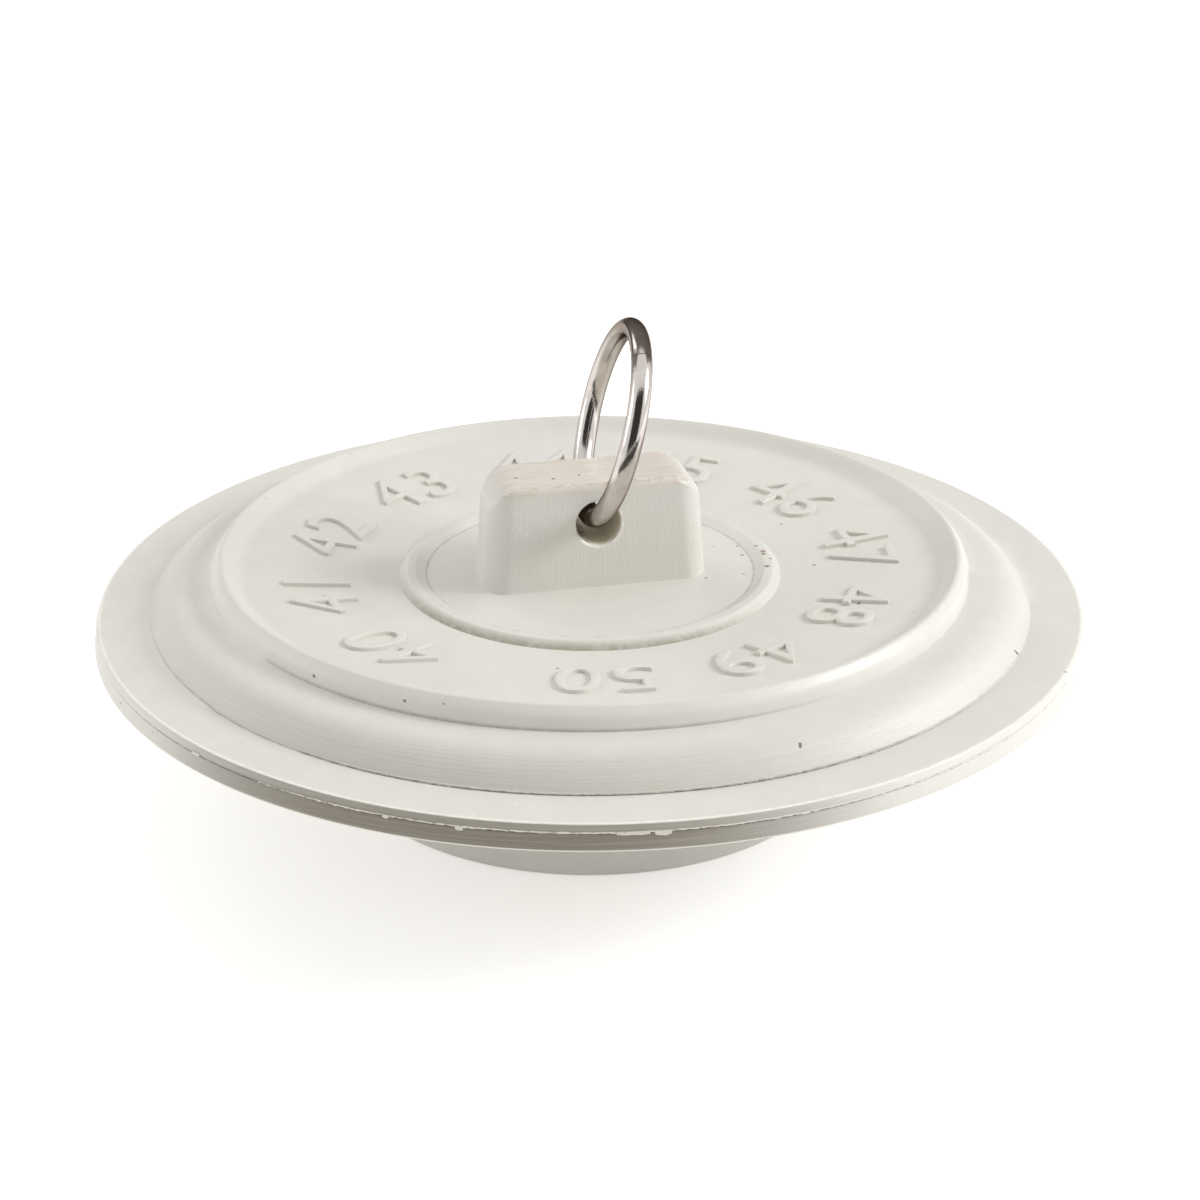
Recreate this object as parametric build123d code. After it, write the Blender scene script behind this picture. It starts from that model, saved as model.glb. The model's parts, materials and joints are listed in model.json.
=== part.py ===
from build123d import *
import os
from math import asin, degrees, radians, sqrt, tan

# A moulded rubber drain stopper with a wire pull ring, in millimetres.
# Z is up and the origin is the centre of the plug's bottom face.
# X runs along the lug's width and Y along the hole that the ring hangs in.

# Plug: two steps, each a little larger than the drain that it seals
small_drain_radius = 19.05
drain_step = 6.35
seal_squeeze = 0.35
small_plug_height = 6.75
large_plug_height = 5.75
plug_edge_radius = 0.5
plug_root_radius = 0.8

# Hollow moulded into the plug from below
plug_wall = 4.9
hollow_depth = 9.5
hollow_draft = 10
hollow_roof_radius = 2
hollow_mouth_radius = 0.4

# Flange: the thin disc that lies on the drain's surround. Its side is drafted and narrows upwards,
# and the mould's parting lip stands out from the side's upper part.
flange_radius = 38.1
flange_thickness = 1.95
flange_side_inset = 0.35
flange_foot_height = 0.3
flange_edge_radius = 0.2
lip_height = 0.55
lip_overhang = 0.1
flange_ledge = 4.3

# Crown: the raised middle of the flange, from its sloping shoulder in to the rim bead
shoulder_rise = 2.35
shoulder_break_rise = 2.05
shoulder_width = 4.75
shoulder_break_width = 1.5
shoulder_radius = 5.5

# Rim bead round the crown: a slope inside, a rounded crest and a steep wall outside
bead_rise = 1.1
bead_slope_width = 1.25
bead_crest_width = 0.7
bead_wall_width = 0.25
bead_crest_radius = 0.6
bead_foot_radius = 1.2

# Dished floor inside the bead, and the low ridge round its centre
rim_floor_rise = 2.95
ridge_foot_rise = 2.15
centre_floor_rise = 1.85
ridge_radius = 13.9
ridge_foot_width = 2.9
ridge_crest_width = 0.8
ridge_rise = 0.55
ridge_crest_radius = 0.7
ridge_foot_radius = 0.9

# Lug: the upright tab that the ring is threaded through
lug_width = 17.3
lug_thickness = 6.9
lug_height = 8.2
lug_draft = 3.5
lug_end_radius = 1.9
lug_corner_width = 2.4
lug_corner_depth = 2.6
lug_corner_radius = 3
lug_edge_radius = 0.45
lug_foot_radius = 0.35

# Hole through the lug
rubber_over_hole = 1.4
hole_play = 0.52
hole_edge_radius = 0.2

# Pull ring of round wire, bent shut to a butt joint. The rubber's grip holds it up in the hole.
ring_radius = 7.3
wire_radius = 0.8
ring_drop = 0.13
ring_side_shift = -0.18
ring_lean = 15.05
ring_turn = -3.34
ring_joint_angle = 120
ring_joint_gap = 0.12
wire_end_chamfer = 0.12

# The largest share of a side that one rounded corner may take up
corner_side_share = 0.48

# Places worked out from the sizes above
small_plug_radius = small_drain_radius + seal_squeeze
large_plug_radius = small_plug_radius + drain_step
hollow_mouth = small_plug_radius - plug_wall
hollow_roof = hollow_mouth - hollow_depth * tan(radians(hollow_draft))
flange_underside = small_plug_height + large_plug_height
flange_top = flange_underside + flange_thickness
crown_radius = flange_radius - flange_ledge
bead_outer_foot = crown_radius - shoulder_width
bead_outer_crest = bead_outer_foot - bead_wall_width
bead_inner_crest = bead_outer_crest - bead_crest_width
bead_inner_foot = bead_inner_crest - bead_slope_width
rim_floor = flange_top + rim_floor_rise
centre_floor = flange_top + centre_floor_rise
lug_top = centre_floor + lug_height

# The hole clears the wire's own curve inside the lug
wire_rise_in_lug = ring_radius - sqrt(ring_radius**2 - (lug_thickness / 2) ** 2)
hole_radius = wire_radius + wire_rise_in_lug / 2 + hole_play
hole_z = lug_top - rubber_over_hole - hole_radius


def turn_between(before, corner, after):
    """Angle that an outline turns through at a corner."""
    arriving = Vector(*corner) - Vector(*before)
    leaving = Vector(*after) - Vector(*corner)
    return radians(arriving.get_angle(leaving))


def fitting_radius(before, corner, after, radius):
    """The radius asked for, or the largest that the corner's two sides allow."""
    turn = turn_between(before, corner, after)
    shorter_side = min(
        (Vector(*corner) - Vector(*before)).length,
        (Vector(*after) - Vector(*corner)).length,
    )
    return min(radius, corner_side_share * shorter_side / tan(turn / 2))


def rounded_outline(corners):
    """Straight sides through (radius from the axis, height, corner radius), with round corners."""
    points = [(across, height) for across, height, _ in corners]
    radii = []
    for index in range(1, len(corners) - 1):
        asked = corners[index][2]
        radii.append(fitting_radius(*points[index - 1 : index + 2], asked))
    return FilletPolyline(*points, radius=radii)


def crown_corners():
    """Top of the stopper, from the axis out to the foot of the shoulder."""
    ridge_inner_foot = ridge_radius - ridge_foot_width / 2
    ridge_outer_foot = ridge_radius + ridge_foot_width / 2
    ridge_inner_crest = ridge_radius - ridge_crest_width / 2
    ridge_outer_crest = ridge_radius + ridge_crest_width / 2
    ridge_foot = flange_top + ridge_foot_rise
    ridge_top = ridge_foot + ridge_rise
    bead_top = rim_floor + bead_rise
    return [
        (0, centre_floor, 0),
        (ridge_inner_foot, centre_floor, ridge_foot_radius),
        (ridge_inner_crest, ridge_top, ridge_crest_radius),
        (ridge_outer_crest, ridge_top, ridge_crest_radius),
        (ridge_outer_foot, ridge_foot, ridge_foot_radius),
        (bead_inner_foot, rim_floor, bead_foot_radius),
        (bead_inner_crest, bead_top, bead_crest_radius),
        (bead_outer_crest, bead_top, bead_crest_radius),
        (bead_outer_foot, flange_top + shoulder_rise, 0),
        (crown_radius - shoulder_break_width, flange_top + shoulder_break_rise, shoulder_radius),
        (crown_radius, flange_top, 0),
    ]


def flange_corners():
    """Side of the flange: the parting lip, the drafted band under it and the upright foot."""
    lip_bottom = flange_top - lip_height
    foot_top = flange_underside + flange_foot_height
    top_radius = flange_radius - flange_side_inset
    draft = flange_side_inset / (flange_top - foot_top)
    band_radius = top_radius + lip_height * draft
    return [
        (top_radius, flange_top, flange_edge_radius),
        (band_radius + lip_overhang, lip_bottom, 0),
        (band_radius, lip_bottom, 0),
        (flange_radius, foot_top, 0),
        (flange_radius, flange_underside, flange_edge_radius),
    ]


def plug_corners():
    """The two sealing steps and the hollow, back to the axis."""
    return [
        (large_plug_radius, flange_underside, plug_root_radius),
        (large_plug_radius, small_plug_height, plug_edge_radius),
        (small_plug_radius, small_plug_height, plug_root_radius),
        (small_plug_radius, 0, plug_edge_radius),
        (hollow_mouth, 0, hollow_mouth_radius),
        (hollow_roof, hollow_depth, hollow_roof_radius),
        (0, hollow_depth, 0),
    ]


def turned_body():
    """Flange, crown and plug: one profile turned about Z."""
    corners = crown_corners() + flange_corners() + plug_corners()
    with BuildPart() as body:
        with BuildSketch(Plane.XZ):
            with BuildLine():
                rounded_outline(corners)
                Line((0, hollow_depth), (0, centre_floor))
            make_face()
        revolve(axis=Axis.Z)
    return body.part


def lug_corner_waste():
    """What the round top corners leave off: a prism above an arc at each end of the lug."""
    taper = tan(radians(lug_draft))
    arc_top = Vector(lug_width / 2 - lug_height * taper - lug_corner_width, lug_top)
    arc_foot = Vector(lug_width / 2 - (lug_height - lug_corner_depth) * taper, lug_top - lug_corner_depth)
    outside = Vector(lug_width, arc_foot.Y)
    above = Vector(lug_width, lug_top + lug_height)
    inside = Vector(arc_top.X, above.Y)
    with BuildPart() as waste:
        with BuildSketch(Plane.XZ.offset(lug_thickness)):
            with BuildLine():
                RadiusArc(arc_top, arc_foot, lug_corner_radius)
                Polyline(arc_foot, outside, above, inside, arc_top)
            make_face()
            mirror(about=Plane.YZ)
        extrude(amount=-2 * lug_thickness)
    return waste.part


def lug():
    """The tab: drafted on all four sides, with round upright edges and round top corners."""
    with BuildPart() as tab:
        with BuildSketch(Plane.XY.offset(centre_floor)):
            RectangleRounded(lug_width, lug_thickness, lug_end_radius)
        extrude(amount=lug_height, taper=lug_draft)
        add(lug_corner_waste(), mode=Mode.SUBTRACT)
        top_face = tab.faces().sort_by(Axis.Z)[-1]
        fillet(top_face.edges().filter_by(Axis.X), lug_edge_radius)
    return tab.part


def stopper_body():
    """The whole rubber moulding: turned body and lug, with the ring's hole through the lug."""
    with BuildPart() as body:
        add(turned_body())
        add(lug())
        foot_edges = (
            body.edges()
            .filter_by_position(Axis.Z, centre_floor, centre_floor)
            .filter_by(lambda edge: edge.bounding_box().size.X <= lug_width)
        )
        fillet(foot_edges, lug_foot_radius)
        with Locations(Location((0, 0, hole_z), (90, 0, 0))):
            Cylinder(hole_radius, 2 * lug_thickness, mode=Mode.SUBTRACT)
        hole_edges = body.edges().filter_by(
            lambda edge: edge.geom_type != GeomType.LINE
            and abs(edge.center(CenterOf.BOUNDING_BOX).Z - hole_z) < hole_radius / 2
            and edge.bounding_box().size.Z > hole_radius
            and edge.bounding_box().size.X > hole_radius
        )
        fillet(hole_edges, hole_edge_radius)
    return body.part


def pull_ring():
    """Round wire bent to a ring that stands in the hole, leaning and slightly out of square."""
    joint_span = degrees(2 * asin(ring_joint_gap / 2 / ring_radius))
    with BuildPart() as ring:
        with BuildSketch(Plane.XY):
            with Locations((0, ring_radius)):
                Circle(wire_radius)
        revolve(axis=Axis.X, revolution_arc=360 - joint_span)
        chamfer(ring.edges().filter_by(GeomType.CIRCLE), wire_end_chamfer)
    turned_to_joint = Rot(ring_joint_angle, 0, 0) * ring.part
    standing = Pos(0, 0, ring_radius - ring_drop) * turned_to_joint
    leaning = Rot(0, 0, ring_turn) * Rot(0, ring_lean, 0) * standing
    return Pos(ring_side_shift, 0, hole_z) * leaning


os.makedirs("parts", exist_ok=True)
export_step(stopper_body(), "parts/stopper_body.step")
export_step(pull_ring(), "parts/pull_ring.step")
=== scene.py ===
import json
from math import atan2, ceil, cos, pi, radians, sin, sqrt, tan

import bmesh
import bpy
from mathutils import Matrix, Vector


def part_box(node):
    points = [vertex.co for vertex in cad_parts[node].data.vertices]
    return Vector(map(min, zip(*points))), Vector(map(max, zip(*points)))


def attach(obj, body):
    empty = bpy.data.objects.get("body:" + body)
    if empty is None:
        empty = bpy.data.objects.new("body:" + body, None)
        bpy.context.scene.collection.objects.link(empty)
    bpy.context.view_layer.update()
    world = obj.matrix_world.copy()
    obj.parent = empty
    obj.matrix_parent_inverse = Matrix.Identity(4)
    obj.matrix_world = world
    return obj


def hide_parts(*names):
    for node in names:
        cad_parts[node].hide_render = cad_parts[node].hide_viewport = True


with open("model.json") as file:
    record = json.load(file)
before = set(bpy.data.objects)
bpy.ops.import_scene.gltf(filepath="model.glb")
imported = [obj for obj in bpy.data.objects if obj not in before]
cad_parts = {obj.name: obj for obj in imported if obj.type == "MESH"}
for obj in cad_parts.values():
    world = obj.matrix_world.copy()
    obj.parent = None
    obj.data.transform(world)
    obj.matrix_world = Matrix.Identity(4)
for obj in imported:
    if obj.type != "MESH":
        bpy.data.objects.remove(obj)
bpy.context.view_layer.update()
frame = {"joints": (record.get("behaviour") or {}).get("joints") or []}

# A moulded rubber drain stopper with a wire pull ring.
# Pieces are modelled in millimetres and made metres when they are finished.
# Z is up, X runs along the lug's width and Y along the hole that the ring hangs in.
metres = 0.001
stopper_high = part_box("stopper_body")[1] / metres

# Turned body
flange_radius = stopper_high.x
small_plug_radius = 19.4
large_plug_radius = 25.75
small_plug_height = 6.75
flange_underside = 12.5
flange_top = 14.45
hollow_mouth = 14.5
hollow_roof_radius = 12.82
hollow_depth = 9.5
plug_root_radius = 0.8
plug_edge_radius = 0.5
hollow_mouth_edge_radius = 0.4
hollow_roof_edge_radius = 2
flange_side_inset = 0.35
flange_foot_height = 0.3
flange_top_edge_radius = 0.07
flange_bottom_edge_radius = 0.2
lip_height = 0.55
lip_overhang = 0.1
lip_bottom = flange_top - lip_height
side_draft = flange_side_inset / (flange_top - flange_underside - flange_foot_height)
side_radius_at_foot = flange_radius - flange_side_inset + side_draft * flange_top
flange_ledge = 4.3
crown_radius = flange_radius - flange_ledge
shoulder_break = 1.5
shoulder_break_rise = 2.05
shoulder_width = 4.75
bead_outer_foot = crown_radius - shoulder_width
shoulder_rise = 2.35
bead_brow = bead_outer_foot - 0.13
bead_outer_crest = bead_outer_foot - 0.7
bead_inner_crest = bead_outer_foot - 0.98
bead_inner_foot = bead_outer_foot - 2.2
rim_floor = flange_top + 2.95
bead_top = rim_floor + 1.1
bead_brow_height = bead_top - 0.68
ridge_inner_foot = 12.6
ridge_inner_crest = 13.45
ridge_outer_crest = 14.1
ridge_outer_foot = 14.7
ridge_foot = flange_top + 1.72
ridge_top = flange_top + 2.27
centre_floor = flange_top + 1.85

# Lug, and the hole that the ring is threaded through
lug_width = 17.3
lug_thickness = 6.9
lug_top = stopper_high.z
lug_height = lug_top - centre_floor
lug_draft = radians(3.5)
lug_end_radius = 1.9
lug_corner_radius = 2.35
lug_edge_radius = 0.45
lug_sink = 0.5
hole_z = frame["joints"][0]["pos_m"][2] / metres
hole_radius = 1.75
hole_edge_radius = 0.18

# Raised numbers on the dished floor: plain sizes in millimetres, read clockwise, tops outwards
numbers = range(40, 51)
first_number_azimuth = -42
number_pitch = -31.5
digit_half_pitch = 5.4
digit_foot_radius = 18.7
digit_size = 7.4
digit_rise = 0.3
digit_sink = 0.35
digit_edge_radius = 0.13
digit_thinning = -0.12
digit_wear = 0.03
digit_wear_seed = 5

# Thin torn edges that the mould left: where its two halves met, round the foot of the skirt and in
# the hole. They show on the worn side, which this direction points to.
worn_side = Vector((0.07, -1, 0)).normalized()
flash_turns = 1100
flash_wear = 0.06
flash_edge_seeds = (3, 8)
# Where the flash dies out: how far round, and how much it sinks and shrinks there, step by step
flash_ends = ((0.72, 0.01, 0.9994), (0.66, 0.02, 0.9988), (0.6, 0.32, 0.99))
hole_wear = 0.05
hole_wear_seed = 2

# How the skirt's foot and the bead's outer foot lose their sharpness away from the worn side
soft_corner_reach = 1.7
soft_corner_stages = (0.35, 0.1, -0.15, -0.4)

# Torn flaps hanging from the parting line: azimuth from the camera, length, drop
torn_flaps = (
    (-13.2, 0.55, 0.4),
    (4.2, 2.2, 0.3),
    (7.2, 1.1, 0.42),
    (-21.0, 0.45, 0.3),
    (22.0, 0.7, 0.2),
    (-46.0, 0.8, 0.2),
)
flap_thickness = 0.12
flap_inset = 0.14
flap_overlap = 0.08
flap_cuts = 3
flap_tip_share = (0.45, 0.6, 1)

# Pull ring
ring_radius = 7.3
wire_radius = 0.8
ring_drop = 0.13
ring_side_shift = -0.18
ring_lean = radians(15.05)
ring_turn = radians(-3.34)
ring_joint_angle = radians(120)
ring_joint_gap = 0.06

# Grime, and the painted shade and highlights of creases and edges, gather on the side that this
# direction points to
grime_and_shade_side = (-0.416, -0.909, 0)

# Where grime, stains and painted shade start or end, as distances from the axis between which they
# fade
skirt_start = (30.2, 32.6)
numbers_start = (17.0, 18.0)
numbers_end = (24.6, 25.2)
lug_reach = (9.6, 9.9)

# Rings left by turning the mould: how many to a millimetre, and how they drift round the axis
streaks_per_millimetre = 6.6
streak_turns = 3.5

# Fine dust on the rubber and the wire, and how far larger marks are pulled out of true
dust_per_millimetre = 0.36
wire_specks_per_millimetre = 1.6
mark_wander = 0.14

# Marks on the rubber, each with its place and radius, and the shares of it between which they fade
dark_specks = (
    (13.2, -3.5, 16.71, 0.2),
    (13.9, -2.1, 16.7, 0.13),
    (12.3, 1.8, 16.31, 0.1),
    (12.2, 0.0, 16.3, 0.13),
    (11.3, -3.6, 16.3, 0.09),
    (8.3, -3.7, 16.3, 0.11),
    (10.5, 2.2, 16.3, 0.08),
    (17.8, -12.2, 16.87, 0.13),
    (17.0, -3.5, 16.44, 0.13),
    (16.8, 5.0, 16.46, 0.09),
    (7.5, -31.7, 15.96, 0.13),
    (7.45, -31.85, 15.85, 0.12),
    (30.5, -22.1, 14.45, 0.11),
    (-23.6, -16.7, 17.46, 0.15),
    (-18.1, -22.5, 17.67, 0.12),
    (-29.0, -0.8, 17.1, 0.11),
    (-6.3, -17.5, 16.56, 0.12),
    (-15.7, -24.2, 17.98, 0.1),
    (-36.8, -9.3, 13.27, 0.12),
    (-34.1, 5.6, 14.45, 0.09),
)
rusty_specks = (
    (13.7, -0.6, 16.72, 0.22),
    (13.6, -1.1, 16.72, 0.2),
    (13.5, 0.6, 16.7, 0.14),
    (-5.8, -0.3, 24.48, 0.14),
    (-3.1, -1.1, 24.5, 0.14),
    (-1.0, -0.8, 24.5, 0.12),
    (5.4, -28.2, 18.41, 0.09),
)
speck_edge = (0.6, 1.3)

# Scuffs, each with its two ends, and the distances between which they fade
pale_scuffs = (
    ((-6.8, -2.97, 23.11), (-6.06, -3.06, 22.6)),
    ((-7.06, -3.01, 21.61), (-5.41, -3.17, 20.95)),
    ((-6.6, -3.0, 21.2), (-6.0, -3.1, 21.5)),
    ((-15.78, -32.7, 14.45), (-15.37, -34.49, 14.4)),
    ((-14.74, -32.22, 14.45), (-14.04, -33.81, 14.45)),
    ((-13.0, -33.2, 14.45), (-10.9, -32.9, 14.45)),
    ((7.9, -35.2, 14.45), (8.6, -36.1, 14.45)),
    ((24.0, -16.0, 14.9), (25.5, -14.0, 14.9)),
)
scuff_edge = (0.045, 0.108)

# How finely round shapes are divided, and when an edge counts as sharp
turns_in_body = 384
turns_in_ring = 240
wire_sides = 48
lug_bevel_segments = 10
hole_sides = 48
corner_step = radians(14)
corner_side_share = 0.48
longest_side = 0.9
longest_hidden_side = 4
sharp_rim = radians(40)
smooth_angle = radians(32)
merge_distance = 0.0005
on_hole = 0.01

# Camera: fitted to the photograph's circles, aimed at the middle of the flange's top
camera_azimuth = radians(-12.6)
camera_elevation = radians(23.821)
camera_roll = radians(0.193)
camera_distance = 219.0
photograph_side = 1200
focal_pixels = 2820.47
axis_pixel = (590.13, 590.83)
sensor_width = 36

# Light from all round, as matt surfaces receive it, and the floor's own glow
soft_light = (0.785, 0.777, 0.758, 1)
soft_light_in_front = (0.505, 0.495, 0.465, 1)
front_light_start = -0.2
floor_size = 6
floor_glow = 0.09
floor_glow_seen = 0.42


def clear_selection():
    """Leaves edit mode with nothing selected."""
    if bpy.context.mode != "OBJECT":
        bpy.ops.object.mode_set(mode="OBJECT")
    bpy.ops.object.select_all(action="DESELECT")


def take_up(piece):
    """Makes one piece the only selected and active one."""
    clear_selection()
    piece.select_set(True)
    bpy.context.view_layer.objects.active = piece


def edit(piece):
    """Opens a piece in edit mode, choosing by vertex, with nothing in it selected."""
    take_up(piece)
    bpy.ops.object.mode_set(mode="EDIT")
    bpy.ops.mesh.select_mode(type="VERT")
    bpy.ops.mesh.select_all(action="DESELECT")


def pick(piece, kind, wanted):
    """In edit mode, selects the VERT, EDGE or FACE elements that pass a test, and says how many."""
    bpy.ops.mesh.select_mode(type=kind)
    bpy.ops.mesh.select_all(action="DESELECT")
    mesh = bmesh.from_edit_mesh(piece.data)
    mesh.normal_update()
    elements = {"VERT": mesh.verts, "EDGE": mesh.edges, "FACE": mesh.faces}[kind]
    picked = [element for element in elements if wanted(element)]
    for element in picked:
        element.select_set(True)
    mesh.select_flush_mode()
    bmesh.update_edit_mesh(piece.data)
    return len(picked)


def close_up(piece):
    """Merges doubles and turns every face outwards."""
    edit(piece)
    bpy.ops.mesh.select_all(action="SELECT")
    bpy.ops.mesh.remove_doubles(threshold=merge_distance)
    bpy.ops.mesh.normals_make_consistent(inside=False)
    clear_selection()


def apply_modifier(piece, kind, **settings):
    """Adds one modifier with its settings and applies it."""
    take_up(piece)
    modifier = piece.modifiers.new(kind, kind)
    for name, value in settings.items():
        setattr(modifier, name, value)
    bpy.ops.object.modifier_apply(modifier=modifier.name)


def combine(piece, other, operation):
    """Joins another closed piece to this one, or cuts it out, and removes it."""
    apply_modifier(piece, "BOOLEAN", operation=operation, solver="MANIFOLD", object=other)
    bpy.data.objects.remove(other)


def set_in_place(piece):
    """Puts a piece's place, turn and size into its mesh."""
    take_up(piece)
    bpy.ops.object.transform_apply(location=True, rotation=True, scale=True)


def finish(piece, material, body, node):
    """Makes a piece's millimetres metres, shades it, and puts it on the body that carries it."""
    take_up(piece)
    bpy.ops.transform.resize(value=(metres, metres, metres), center_override=(0, 0, 0))
    set_in_place(piece)
    bpy.ops.object.shade_smooth_by_angle(angle=smooth_angle)
    apply_modifier(piece, "WEIGHTED_NORMAL", keep_sharp=True)
    piece.data.materials.clear()
    piece.data.materials.append(material)
    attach(piece, body)
    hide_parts(node)
    clear_selection()


def corner_offset(before, corner, after, radius):
    """How far from a corner its arc starts, no further than the two sides allow."""
    arriving = Vector(corner) - Vector(before)
    leaving = Vector(after) - Vector(corner)
    turn = arriving.angle(leaving)
    shorter_side = min(arriving.length, leaving.length)
    return turn, min(radius * tan(turn / 2), corner_side_share * shorter_side)


def too_long(edge):
    """Whether a side of an outline needs dividing. The plug's sides may be longer than the rest."""
    hidden = highest(edge) <= flange_underside + merge_distance
    return edge.calc_length() > (longest_hidden_side if hidden else longest_side)


def draw_outline(name, corners):
    """Draws (across, up, corner radius) points side by side from one vertex, with round corners."""
    bpy.ops.mesh.primitive_plane_add(size=1)
    outline = bpy.context.object
    outline.name = name
    edit(outline)
    bpy.ops.mesh.select_all(action="SELECT")
    bpy.ops.mesh.merge(type="CENTER")
    places = [Vector((across, 0, up)) for across, up, radius in corners]
    bpy.ops.transform.translate(value=places[0])
    for here, there in zip(places, places[1:]):
        bpy.ops.mesh.extrude_vertices_move(TRANSFORM_OT_translate={"value": there - here})
    for index in range(1, len(corners) - 1):
        radius = corners[index][2]
        turn, offset = corner_offset(*places[index - 1 : index + 2], radius)
        if radius == 0:
            continue
        pick(outline, "VERT", lambda vertex: (vertex.co - places[index]).length < merge_distance)
        segments = max(2, ceil(turn / corner_step))
        bpy.ops.mesh.bevel(offset=offset, segments=segments, profile=0.5, affect="VERTICES")
    while pick(outline, "EDGE", too_long):
        bpy.ops.mesh.subdivide(number_cuts=1)
    return outline


def crown_corners():
    """Top of the stopper, from the axis out to the foot of the shoulder."""
    return [
        (0, centre_floor, 0),
        (ridge_inner_foot, centre_floor, 0.25),
        (ridge_inner_crest, ridge_top, 0.15),
        (ridge_outer_crest, ridge_top, 0.2),
        (ridge_outer_foot, ridge_foot, 0.12),
        (bead_inner_foot, rim_floor, 1.2),
        (bead_inner_crest, bead_top, 0.6),
        (bead_outer_crest, bead_top, 0.6),
        (bead_brow, bead_brow_height, 0.8),
        (bead_outer_foot, flange_top + shoulder_rise, 0),
        (crown_radius - shoulder_break, flange_top + shoulder_break_rise, 5.5),
        (crown_radius, flange_top, 0),
    ]


def flange_corners():
    """Side of the flange: the parting lip, the drafted band under it and the upright foot."""
    foot_top = flange_underside + flange_foot_height
    top_radius = flange_radius - flange_side_inset
    band_radius = top_radius + lip_height * side_draft
    return [
        (top_radius, flange_top, flange_top_edge_radius),
        (band_radius + lip_overhang, lip_bottom, 0),
        (band_radius, lip_bottom, 0),
        (flange_radius, foot_top, 0),
        (flange_radius, flange_underside, flange_bottom_edge_radius),
    ]


def plug_corners():
    """The two sealing steps and the hollow, back to the axis."""
    return [
        (large_plug_radius, flange_underside, plug_root_radius),
        (large_plug_radius, small_plug_height, plug_edge_radius),
        (small_plug_radius, small_plug_height, plug_root_radius),
        (small_plug_radius, 0, plug_edge_radius),
        (hollow_mouth, 0, hollow_mouth_edge_radius),
        (hollow_roof_radius, hollow_depth, hollow_roof_edge_radius),
        (0, hollow_depth, 0),
    ]


def model_turned_body():
    """Flange, crown and plug: one outline turned about Z."""
    body = draw_outline("stopper_body_rubber", crown_corners() + flange_corners() + plug_corners())
    apply_modifier(
        body,
        "SCREW",
        steps=turns_in_body,
        render_steps=turns_in_body,
        use_merge_vertices=True,
        merge_threshold=merge_distance,
    )
    close_up(body)
    return body


def lowest(edge):
    """Height of an edge's lower end."""
    return min(vertex.co.z for vertex in edge.verts)


def highest(edge):
    """Height of an edge's upper end."""
    return max(vertex.co.z for vertex in edge.verts)


def edge_reach(edge):
    """How far an edge goes along X, Y and Z."""
    return Vector([abs(value) for value in edge.verts[0].co - edge.verts[1].co])


def weigh_edges(piece, radius, wanted):
    """Marks the edges that one bevel will round, each with its share of the largest radius."""
    pick(piece, "EDGE", wanted)
    bpy.ops.transform.edge_bevelweight(value=radius / lug_corner_radius)


def model_lug():
    """The tab: drafted on all four sides, with round upright edges and round top corners."""
    foot = centre_floor - lug_sink
    draft = tan(lug_draft)
    foot_size = Vector((lug_width, lug_thickness)) + Vector((2, 2)) * lug_sink * draft
    top_size = Vector((lug_width, lug_thickness)) - Vector((2, 2)) * lug_height * draft
    bpy.ops.mesh.primitive_cube_add(
        size=1, location=(0, 0, (foot + lug_top) / 2), scale=(*foot_size, lug_top - foot)
    )
    lug = bpy.context.object
    lug.name = "lug"
    set_in_place(lug)
    edit(lug)
    pick(lug, "FACE", lambda face: face.normal.z > 0.9)
    bpy.ops.transform.resize(
        value=(top_size.x / foot_size.x, top_size.y / foot_size.y, 1), center_override=(0, 0, 0)
    )
    middle = (foot + lug_top) / 2
    weigh_edges(lug, lug_end_radius, lambda edge: lowest(edge) < middle < highest(edge))
    weigh_edges(
        lug, lug_corner_radius, lambda edge: lowest(edge) > middle and edge_reach(edge).y > 1
    )
    weigh_edges(
        lug, lug_edge_radius, lambda edge: lowest(edge) > middle and edge_reach(edge).x > 1
    )
    clear_selection()
    apply_modifier(
        lug,
        "BEVEL",
        limit_method="WEIGHT",
        width=lug_corner_radius,
        segments=lug_bevel_segments,
        profile=0.5,
        use_clamp_overlap=False,
    )
    return lug


def floor_height(across):
    """Height of the dished floor at a distance from the axis."""
    share = (across - ridge_outer_foot) / (bead_inner_foot - ridge_outer_foot)
    return ridge_foot + (rim_floor - ridge_foot) * share


def model_digit(digit, azimuth):
    """One raised digit, standing on the dished floor at an azimuth seen from the camera's side."""
    bpy.ops.object.text_add()
    text = bpy.context.object
    text.data.body = digit
    text.data.size = digit_size
    text.data.align_x = "CENTER"
    text.data.extrude = (digit_rise + digit_sink) / 2 - digit_edge_radius
    text.data.bevel_depth = digit_edge_radius
    text.data.bevel_resolution = 1
    text.data.resolution_u = 4
    text.data.offset = digit_thinning
    slope = atan2(floor_height(digit_foot_radius + 1) - floor_height(digit_foot_radius), 1)
    place = Matrix.Rotation(camera_azimuth + radians(azimuth) + pi, 4, "Z")
    place @= Matrix.Translation((0, digit_foot_radius, floor_height(digit_foot_radius)))
    place @= Matrix.Rotation(slope, 4, "X")
    place @= Matrix.Translation((0, 0, (digit_rise - digit_sink) / 2))
    text.matrix_world = place
    bpy.ops.object.convert(target="MESH")
    set_in_place(bpy.context.object)
    return bpy.context.object


def model_numbers():
    """All the digits as one mesh, a little worn."""
    digits = []
    for index, number in enumerate(numbers):
        middle = first_number_azimuth + index * number_pitch
        for digit, side in zip(str(number), (1, -1)):
            digits.append(model_digit(digit, middle + side * digit_half_pitch))
    clear_selection()
    for digit in digits:
        digit.select_set(True)
    bpy.context.view_layer.objects.active = digits[0]
    bpy.ops.object.join()
    close_up(digits[0])
    edit(digits[0])
    bpy.ops.mesh.select_all(action="SELECT")
    bpy.ops.transform.vertex_random(offset=digit_wear, seed=digit_wear_seed)
    clear_selection()
    return digits[0]


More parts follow.
